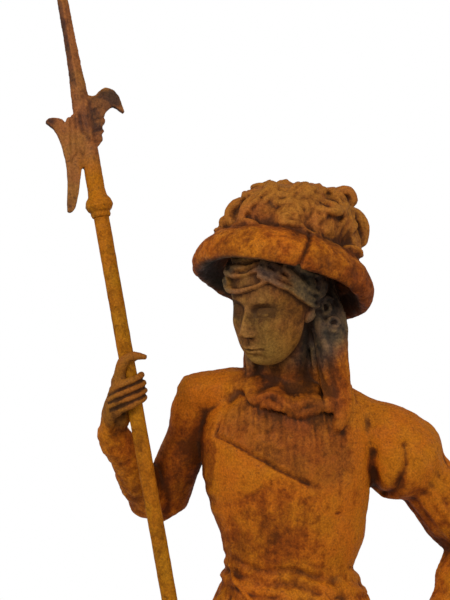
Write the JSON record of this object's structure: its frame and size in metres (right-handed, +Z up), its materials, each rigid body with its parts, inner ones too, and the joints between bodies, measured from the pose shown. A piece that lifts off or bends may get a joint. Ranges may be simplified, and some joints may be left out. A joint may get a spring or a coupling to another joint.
{
  "type": "garden statue",
  "caption": "Cast iron garden statue of a young guard in a plumed hat, one hand on the hip, the other holding a tall halberd, on a low plinth.",
  "frame": {"origin": "middle of the plinth's underside", "axes": "+Z up along the figure's height, -Y the way the figure's body faces, +X towards the figure's left hand"},
  "size_m": [0.8733, 0.46, 2.243],
  "materials": {
    "figure_iron": "rusted, matt, rough",
    "halberd_iron": "rusted, matt, rough",
    "plinth_iron": "rusted, matt, rough"
  },
  "bodies": {
    "root": {"plinth": "plinth_iron", "figure": "figure_iron", "halberd_shaft": "halberd_iron", "halberd_head": "halberd_iron"}
  },
  "joints": []
}
